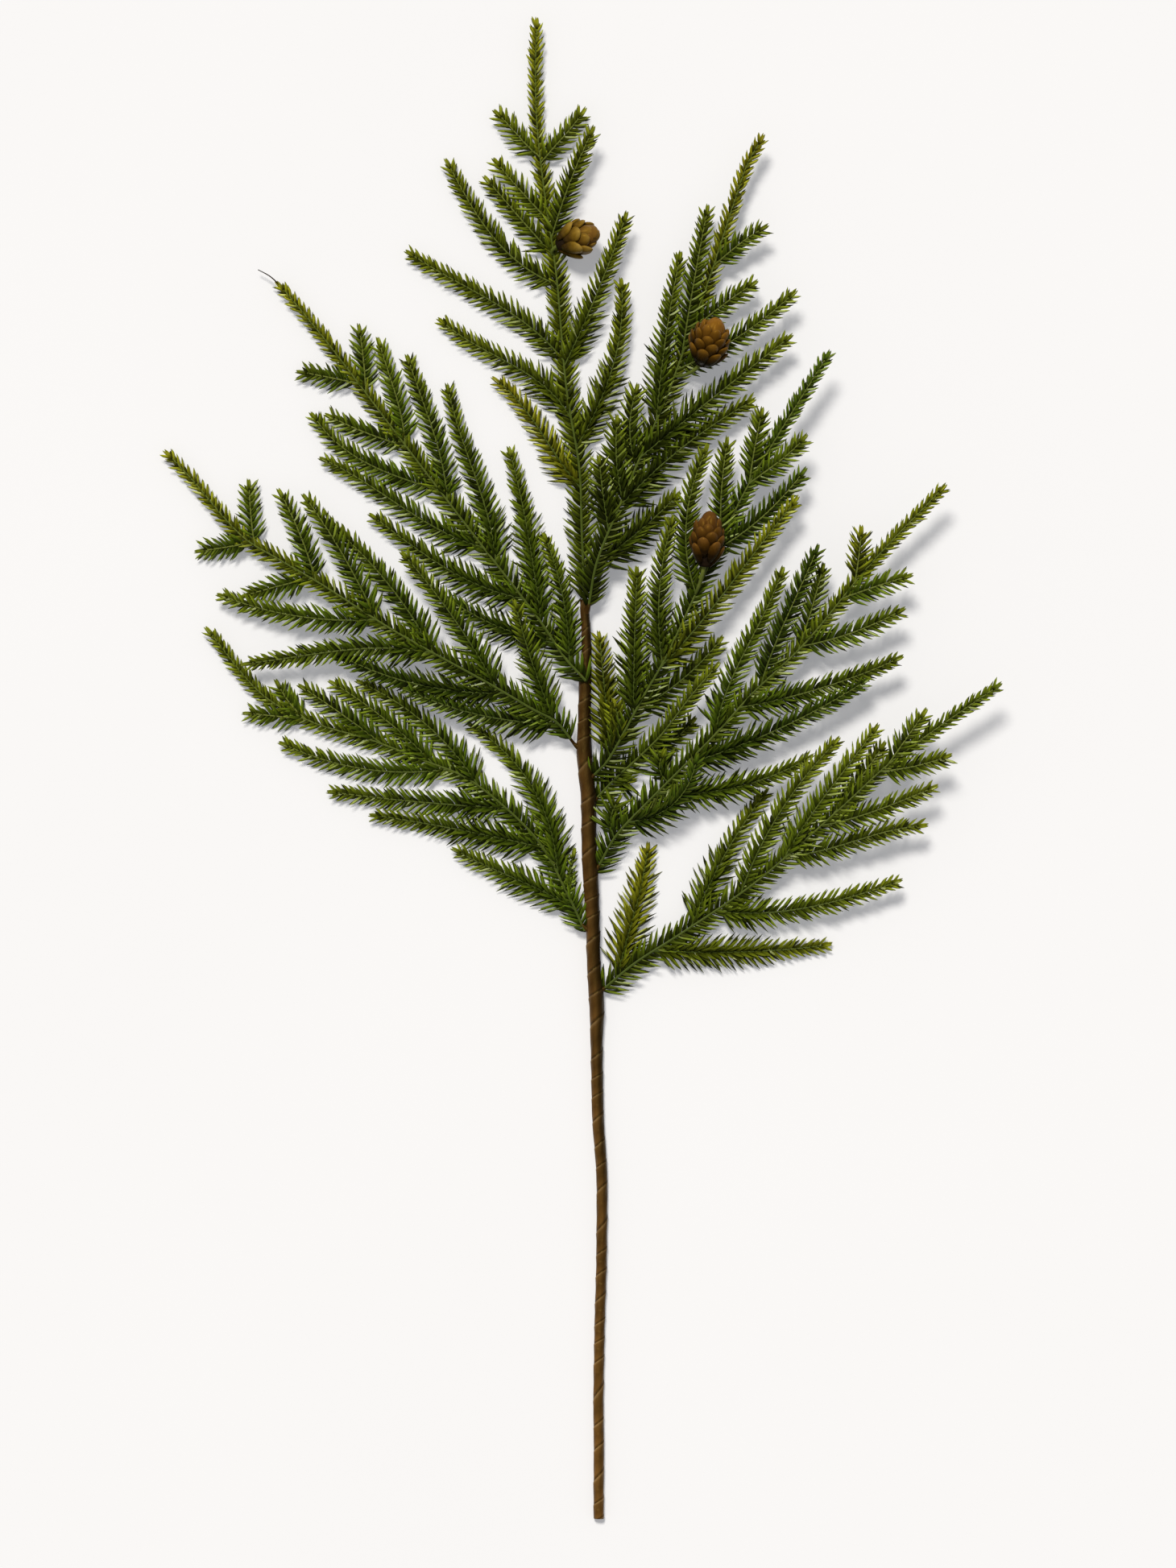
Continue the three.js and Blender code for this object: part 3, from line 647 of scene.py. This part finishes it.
def cone(name, scale, core, rib):
    """One cone: a core and a closing bud turned from an oval, overlapping scales set on a winding line from
    foot to tip, and a bent stalk from the branch."""
    shape = CONES[name]
    length, radius = shape["length"], shape["radius"]
    ahead = unit(np.array(shape["towards"], float))
    foot = np.array(shape["middle"], float) - ahead * length / 2
    across = unit(np.cross(ahead, UP))
    above = np.cross(across, ahead)

    def girth(share):
        """Radius of the oval at a share of the cone's length."""
        return radius * np.sqrt(np.clip(1 - (2 * (share - CONE_BULGE) / CONE_ENDS)**2, THINNEST, 1))

    def oval(start, end, slim):
        """Closed body between two shares of the cone's length, at a share of its girth."""
        line = Path(foot + np.array([[0.0], [1.0]]) * length * ahead)
        rings = tube(line, start * length, end * length, (1, 1), CORE_SIDES, CORE_STEP)
        share = np.linspace(start, end, rings.shape[1])
        centre = (foot + share[:, None] * length * ahead)[None, :, None]
        return centre + (rings - centre) * (girth(share) * slim)[None, :, None, None]

    bundle = Bundle()
    stalk = bow(np.array(shape["twig"], float), foot - ahead * STALK_BEND, foot + ahead * STALK_BEND)
    bundle.add(tube(stalk, 0, stalk.length, CONE_STALK, STALK_SIDES, STALK_STEP), STALK)
    bundle.add(oval(*CORE), INSIDE)
    bundle.add(oval(*BUD), SCALE, **BUD_MARKS)

    count = shape["scales"]
    order = np.arange(count)
    low = (order / (count - 1))**SCALE_CROWD * LAST_SCALE
    reach = np.minimum(shape["reach"], SCALES_END - low)
    turn = order * shape["turn"] * 2 * math.pi
    radial = across * np.cos(turn)[:, None] + above * np.sin(turn)[:, None]
    root = girth(low) * SCALE_ROOT
    rim = girth(low + reach) * shape["spread"]
    way = ahead * (length * reach)[:, None] + radial * (rim - root)[:, None]
    towards = unit(way)
    face = unit(np.cross(towards, np.cross(radial, towards)))
    size = np.linalg.norm(way, axis=1) * RNG.normal(1, SCALE_SPREAD, count)
    half = shape["half_width"] * np.clip(girth(low + reach / 2) / radius, NARROWEST, 1)
    half = half * RNG.normal(1, SCALE_SPREAD, count)
    feet = foot + ahead * (length * low)[:, None] + radial * root[:, None]
    rings = blades(feet, towards, face, size, half, shape["half_thick"], SCALE_OUTLINE, SCALE_CORNERS,
                   lift=SCALE_LIFT, camber=SCALE_CAMBER)
    tone = RNG.random(count)
    bundle.add(rings, SCALE, tint=low + reach, tone=tone, along=[row[0] for row in SCALE_OUTLINE])
    item = bundle.piece(name + "_scales", [scale, core, rib], smooth=True)
    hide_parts(name)


MIX_AMOUNT, MIX_FIRST, MIX_SECOND, MIX_RESULT = 0, 6, 7, 2  # a mix node's sockets for colours


def new_material(name):
    """A material with its node tree and main shader."""
    material = bpy.data.materials.new(name)
    material.use_nodes = True
    tree = material.node_tree
    return material, tree, tree.nodes["Principled BSDF"]


def mark_node(tree, name):
    """The value of one of the piece's own attributes."""
    reader = tree.nodes.new("ShaderNodeAttribute")
    reader.attribute_name = name
    return reader.outputs["Fac"]


def greys(*stops):
    """Stops for a ramp of greys, each given as a place and a brightness."""
    return [(place, (bright, bright, bright)) for place, bright in stops]


def ramp(tree, value, stops):
    """Colours blended along a value, each stop a place and a linear RGB."""
    node = tree.nodes.new("ShaderNodeValToRGB")
    bar = node.color_ramp.elements
    while len(bar) < len(stops):
        bar.new(0.5)
    for element, (place, colour) in zip(bar, stops):
        element.position = place
        element.color = (*colour, 1)
    tree.links.new(value, node.inputs["Fac"])
    return node.outputs["Color"]


def math_node(tree, operation, first, second, third=None):
    """One sum on values; an input is a socket or a number."""
    node = tree.nodes.new("ShaderNodeMath")
    node.operation = operation
    for socket, value in zip(node.inputs, (first, second, third)):
        if value is None:
            continue
        if isinstance(value, bpy.types.NodeSocket):
            tree.links.new(value, socket)
        else:
            socket.default_value = value
    return node.outputs["Value"]


def linear(tree, value, gain, offset):
    """A value times the gain, plus the offset."""
    return math_node(tree, "MULTIPLY_ADD", value, gain, offset)


def product(tree, first, *others):
    """Values multiplied one after the other; each is a socket or a number."""
    for value in others:
        first = math_node(tree, "MULTIPLY", first, value)
    return first


def mix_colour(tree, amount, first, second):
    """The first colour mixed with a constant second one by the amount."""
    node = tree.nodes.new("ShaderNodeMix")
    node.data_type = "RGBA"
    tree.links.new(amount, node.inputs[MIX_AMOUNT])
    tree.links.new(first, node.inputs[MIX_FIRST])
    node.inputs[MIX_SECOND].default_value = (*second, 1)
    return node.outputs[MIX_RESULT]


def scaled(tree, colour, value):
    """A colour times a value."""
    node = tree.nodes.new("ShaderNodeVectorMath")
    node.operation = "SCALE"
    tree.links.new(colour, node.inputs[0])
    tree.links.new(value, node.inputs["Scale"])
    return node.outputs[0]


def grain_group():
    """Soft random pattern in the piece's own coordinates, which Stretch multiplies along each axis."""
    group = bpy.data.node_groups.new("soft_grain", "ShaderNodeTree")
    group.interface.new_socket("Scale", in_out="INPUT", socket_type="NodeSocketFloat")
    group.interface.new_socket("Detail", in_out="INPUT", socket_type="NodeSocketFloat")
    group.interface.new_socket("Stretch", in_out="INPUT", socket_type="NodeSocketVector")
    group.interface.new_socket("Value", in_out="OUTPUT", socket_type="NodeSocketFloat")
    entry = group.nodes.new("NodeGroupInput")
    leave = group.nodes.new("NodeGroupOutput")
    place = group.nodes.new("ShaderNodeTexCoord")
    stretch = group.nodes.new("ShaderNodeVectorMath")
    stretch.operation = "MULTIPLY"
    pattern = group.nodes.new("ShaderNodeTexNoise")
    group.links.new(place.outputs["Object"], stretch.inputs[0])
    group.links.new(entry.outputs["Stretch"], stretch.inputs[1])
    group.links.new(stretch.outputs[0], pattern.inputs["Vector"])
    group.links.new(entry.outputs["Scale"], pattern.inputs["Scale"])
    group.links.new(entry.outputs["Detail"], pattern.inputs["Detail"])
    group.links.new(pattern.outputs["Fac"], leave.inputs["Value"])
    return group


GRAIN = grain_group()


def noise(tree, scale, stretch=(1.0, 1.0, 1.0), detail=3.0):
    """The soft random pattern at a given scale."""
    node = tree.nodes.new("ShaderNodeGroup")
    node.node_tree = GRAIN
    node.inputs["Scale"].default_value = scale
    node.inputs["Detail"].default_value = detail
    node.inputs["Stretch"].default_value = stretch
    return node.outputs["Value"]


# Looks of the pieces. Each pair is a gain and an offset on a mark or on the soft pattern.
NEEDLE_COLOURS = [  # from dark green to amber, by tint
    (0.0, (0.018, 0.04, 0.003)), (0.33, (0.059, 0.105, 0.005)), (0.62, (0.22, 0.22, 0.008)),
    (1.0, (0.2, 0.11, 0.006)),
]
NEEDLE_TINT = (1 / 3, 1 / 3)
NEEDLE_FOOT_SHADE = greys((0.08, 0.09), (0.32, 0.48), (0.62, 1.0))  # painted shade at the foot, by the way along
NEEDLE_TONE = (1.35, 0.22)
NEEDLE_DARKEST = 0.1
NEEDLE_PATCH = (0.5, 0.75)
NEEDLE_HIGHLIGHT_LEVEL = (0.9, 0.72)
NEEDLE_TIP = (0.22, 0.24, 0.015)
NEEDLE_TIP_SHARE = 0.35
NEEDLE_TIP_POWER = 3.0
NEEDLE_ROUGH = (0.25, 0.28)


def needle_material():
    """Satin needles with a thin gloss: the twig's tint from dark green to amber, each needle lighter or
    darker by its tone, which also carries painted shade, with painted shade at its foot, a painted
    highlight along its inner edge and a paler tip."""
    material, tree, shader = new_material("needle_green")
    base = ramp(tree, linear(tree, mark_node(tree, "tint"), *NEEDLE_TINT), NEEDLE_COLOURS)
    # painted shade at the needle's foot
    foot_shade = ramp(tree, mark_node(tree, "along"), NEEDLE_FOOT_SHADE)
    tone = math_node(tree, "MAXIMUM", linear(tree, mark_node(tree, "tone"), *NEEDLE_TONE), NEEDLE_DARKEST)
    patch = linear(tree, noise(tree, scale=60), *NEEDLE_PATCH)
    # painted highlight along the needles' edges
    edge = linear(tree, mark_node(tree, "corner"), *NEEDLE_HIGHLIGHT_LEVEL)
    shade = product(tree, tone, foot_shade, edge, patch)
    end = math_node(tree, "POWER", mark_node(tree, "along"), NEEDLE_TIP_POWER)
    end = product(tree, end, NEEDLE_TIP_SHARE, tone)
    colour = mix_colour(tree, end, scaled(tree, base, shade), NEEDLE_TIP)
    tree.links.new(colour, shader.inputs["Base Color"])
    tree.links.new(linear(tree, noise(tree, scale=400), *NEEDLE_ROUGH), shader.inputs["Roughness"])
    shader.inputs["Specular IOR Level"].default_value = 0.26
    shader.inputs["Specular Tint"].default_value = (0.85, 1.0, 0.12, 1)
    shader.inputs["Coat Weight"].default_value = 0.09
    shader.inputs["Coat Roughness"].default_value = 0.2
    return material


RIB_COLOURS = [(0.1, (0.05, 0.075, 0.009)), (0.5, (0.085, 0.115, 0.015)), (1.0, (0.16, 0.19, 0.03))]
RIB_ALONG = 0.5  # weight of the way along beside the tone
RIB_BLOTCH = (0.6, -0.3)


def rib_material():
    """Green ribs, paler towards the tips, with faint blotches."""
    material, tree, shader = new_material("rib_green")
    out = linear(tree, mark_node(tree, "along"), RIB_ALONG, mark_node(tree, "tone"))
    blotch = linear(tree, noise(tree, scale=150), *RIB_BLOTCH)
    colour = ramp(tree, math_node(tree, "ADD", out, blotch), RIB_COLOURS)
    tree.links.new(colour, shader.inputs["Base Color"])
    shader.inputs["Roughness"].default_value = 0.45
    shader.inputs["Specular IOR Level"].default_value = 0.2
    return material


TAPE_COLOURS = [  # from one edge of the tape to the other
    (0.0, (0.025, 0.01, 0.002)), (0.12, (0.12, 0.055, 0.013)), (0.5, (0.075, 0.033, 0.007)),
    (0.86, (0.105, 0.05, 0.012)), (0.97, (0.22, 0.13, 0.05)),
]
# Painted shade across the stem: lit on the left, shaded on the right
BARK_SIDE_SHADE = greys((0.0, 1.0), (0.4, 0.7), (0.68, 0.25), (1.0, 0.12))  # from the left to the right
BARK_SIDE = (0.5, 0.5)
BARK_SHADE_UPPER = (1.6, 0.2)  # how fully the painted shade of the sides differs, by the way up
BARK_LOW = (-0.65, 1.35)
BARK_STREAK = (1.6, 0.2)
BARK_ROUGH = (0.3, 0.3)


def bark_material():
    """Brown wrapping: each turn of the tape runs from a dark seam to a pale raised edge, with long streaks,
    fine wrinkles and a satin gloss; paler near the stem's cut end, and with painted shade on the right
    side, deepest further up."""
    material, tree, shader = new_material("wrapped_bark")
    streak = noise(tree, scale=220, stretch=(1, 0.14, 1), detail=5)
    tape = ramp(tree, mark_node(tree, "corner"), TAPE_COLOURS)
    # painted shade: darker on the right side, less so near the cut end
    side = ramp(tree, linear(tree, mark_node(tree, "side"), *BARK_SIDE), BARK_SIDE_SHADE)
    upper = math_node(tree, "MINIMUM", linear(tree, mark_node(tree, "along"), *BARK_SHADE_UPPER), 1.0)
    side = linear(tree, math_node(tree, "SUBTRACT", side, 1.0), upper, 1.0)
    low = linear(tree, mark_node(tree, "along"), *BARK_LOW)
    shade = product(tree, side, low, linear(tree, streak, *BARK_STREAK))
    tree.links.new(scaled(tree, tape, shade), shader.inputs["Base Color"])
    tree.links.new(linear(tree, streak, *BARK_ROUGH), shader.inputs["Roughness"])
    bump = tree.nodes.new("ShaderNodeBump")
    bump.inputs["Strength"].default_value = 0.5
    bump.inputs["Distance"].default_value = 0.0006
    tree.links.new(noise(tree, scale=900, stretch=(1, 0.33, 1), detail=4), bump.inputs["Height"])
    tree.links.new(bump.outputs["Normal"], shader.inputs["Normal"])
    shader.inputs["Specular IOR Level"].default_value = 0.25
    shader.inputs["Specular Tint"].default_value = (1.0, 0.75, 0.2, 1)
    return material


# The dark roots are painted shade where the scales overlap, the pale rims a painted highlight
SCALE_COLOURS = {  # at a scale's root, middle and rim, and at the cone's tip
    "top_cone": ((0.035, 0.017, 0.001), (0.17, 0.098, 0.009), (0.3, 0.19, 0.035), (0.2, 0.095, 0.018)),
    "upper_cone": ((0.006, 0.002, 0.0002), (0.055, 0.024, 0.002), (0.15, 0.07, 0.008), (0.26, 0.11, 0.012)),
    "middle_cone": ((0.008, 0.003, 0.0004), (0.062, 0.026, 0.003), (0.14, 0.062, 0.012), (0.13, 0.053, 0.01)),
}
SCALE_STOPS = (0.4, 0.75, 1.0)  # where root, middle and rim have their own colours, by the way along
SCALE_GRAIN = (0.3, -0.15)
SCALE_TONE = (0.2, -0.1)
SCALE_TIP_POWER = 6.0
SCALE_TIP_SHARE = 0.6
SCALE_ROUGH = (0.3, 0.25)


def scale_material(name, *body_colours, tip):
    """Cone scales: dark at the root as painted shade where they overlap, pale along the rim as a painted
    highlight, with fine grain, and another colour at the cone's tip."""
    material, tree, shader = new_material(name)
    grain = linear(tree, noise(tree, scale=500), *SCALE_GRAIN)
    tone = linear(tree, mark_node(tree, "tone"), *SCALE_TONE)
    place = math_node(tree, "ADD", math_node(tree, "ADD", mark_node(tree, "along"), grain), tone)
    body = ramp(tree, place, list(zip(SCALE_STOPS, body_colours)))
    end = math_node(tree, "POWER", mark_node(tree, "tint"), SCALE_TIP_POWER)
    colour = mix_colour(tree, product(tree, end, SCALE_TIP_SHARE), body, tip)
    tree.links.new(colour, shader.inputs["Base Color"])
    tree.links.new(linear(tree, noise(tree, scale=700), *SCALE_ROUGH), shader.inputs["Roughness"])
    shader.inputs["Specular IOR Level"].default_value = 0.18
    shader.inputs["Specular Tint"].default_value = (1.0, 0.6, 0.08, 1)
    return material


CORE_COLOURS = [(0.3, (0.006, 0.003, 0.001)), (0.7, (0.02, 0.01, 0.003))]


def core_material():
    """Dark brown inside of a cone."""
    material, tree, shader = new_material("cone_core")
    colour = ramp(tree, noise(tree, scale=300), CORE_COLOURS)
    tree.links.new(colour, shader.inputs["Base Color"])
    shader.inputs["Roughness"].default_value = 0.7
    shader.inputs["Specular IOR Level"].default_value = 0.1
    return material


# View: its middle and height on the table and the camera's height, in mm
VIEW_MIDDLE = (3.4, -8.2)
VIEW_HEIGHT = 818
CAMERA_HEIGHT = 3000
SENSOR = 36
FAR_END = 40  # how far the camera sees, in metres
# Floor: half its side, in metres, its colours and the colour and strength of its glow
FLOOR_HALF = 14
FLOOR_COLOURS = [(0.3, (0.7, 0.695, 0.7)), (0.7, (0.71, 0.705, 0.71))]
FLOOR_GLOW = ((0.925, 0.94, 1.0, 1), 0.252)
# Light: the way it comes from, its width as an angle, its strength and colour, and the sky's colour and
# strength
LIGHT_FROM = (-0.15, 0.48, 0.866)
LIGHT_ANGLE = 0.25
LIGHT_STRENGTH = 2.75
LIGHT_COLOUR = (1.0, 0.97, 0.91)
SKY = ((1.0, 0.99, 0.97, 1), 0.27)


def studio():
    """Pale floor, a camera that looks straight down, a broad light from the top left and an even sky."""
    mesh = bpy.data.meshes.new("floor")
    half = FLOOR_HALF
    corners = [(-half, -half, 0), (half, -half, 0), (half, half, 0), (-half, half, 0)]
    mesh.from_pydata(corners, [], [(0, 1, 2, 3)])
    floor = bpy.data.objects.new("floor", mesh)
    bpy.context.scene.collection.objects.link(floor)
    material, tree, shader = new_material("pale_floor")
    colour = ramp(tree, noise(tree, scale=3), FLOOR_COLOURS)
    tree.links.new(colour, shader.inputs["Base Color"])
    shader.inputs["Roughness"].default_value = 0.9
    shader.inputs["Specular IOR Level"].default_value = 0.1
    shader.inputs["Emission Color"].default_value = FLOOR_GLOW[0]
    shader.inputs["Emission Strength"].default_value = FLOOR_GLOW[1]
    mesh.materials.append(material)

    lens = bpy.data.cameras.new("camera")
    lens.sensor_fit = "VERTICAL"
    lens.sensor_height = SENSOR
    lens.lens = SENSOR * CAMERA_HEIGHT / VIEW_HEIGHT
    lens.clip_end = FAR_END
    camera = bpy.data.objects.new("camera", lens)
    camera.location = (VIEW_MIDDLE[0] * MM, VIEW_MIDDLE[1] * MM, CAMERA_HEIGHT * MM)
    bpy.context.scene.collection.objects.link(camera)
    bpy.context.scene.camera = camera

    lamp = bpy.data.lights.new("key", "SUN")
    lamp.angle = LIGHT_ANGLE
    lamp.energy = LIGHT_STRENGTH
    lamp.color = LIGHT_COLOUR
    key = bpy.data.objects.new("key", lamp)
    away = unit(np.array(LIGHT_FROM))
    key.location = away
    key.rotation_euler = (math.acos(away[2]), 0, math.atan2(away[1], away[0]) + math.pi / 2)
    bpy.context.scene.collection.objects.link(key)

    sky = bpy.data.worlds.new("sky")
    sky.use_nodes = True
    backdrop = sky.node_tree.nodes["Background"]
    backdrop.inputs["Color"].default_value = SKY[0]
    backdrop.inputs["Strength"].default_value = SKY[1]
    bpy.context.scene.world = sky
    bpy.context.scene.view_settings.view_transform = "Standard"


needle, rib, bark, core = needle_material(), rib_material(), bark_material(), core_material()
scales = {}
for cone_name, (*body, tip) in SCALE_COLOURS.items():
    scales[cone_name] = scale_material(cone_name.replace("cone", "scale"), *body, tip=tip)
studio()
stem(bark)
for branch_name in BRANCHES:
    branch(branch_name, needle, rib, bark)
for cone_name in CONES:
    cone(cone_name, scales[cone_name], core, rib)
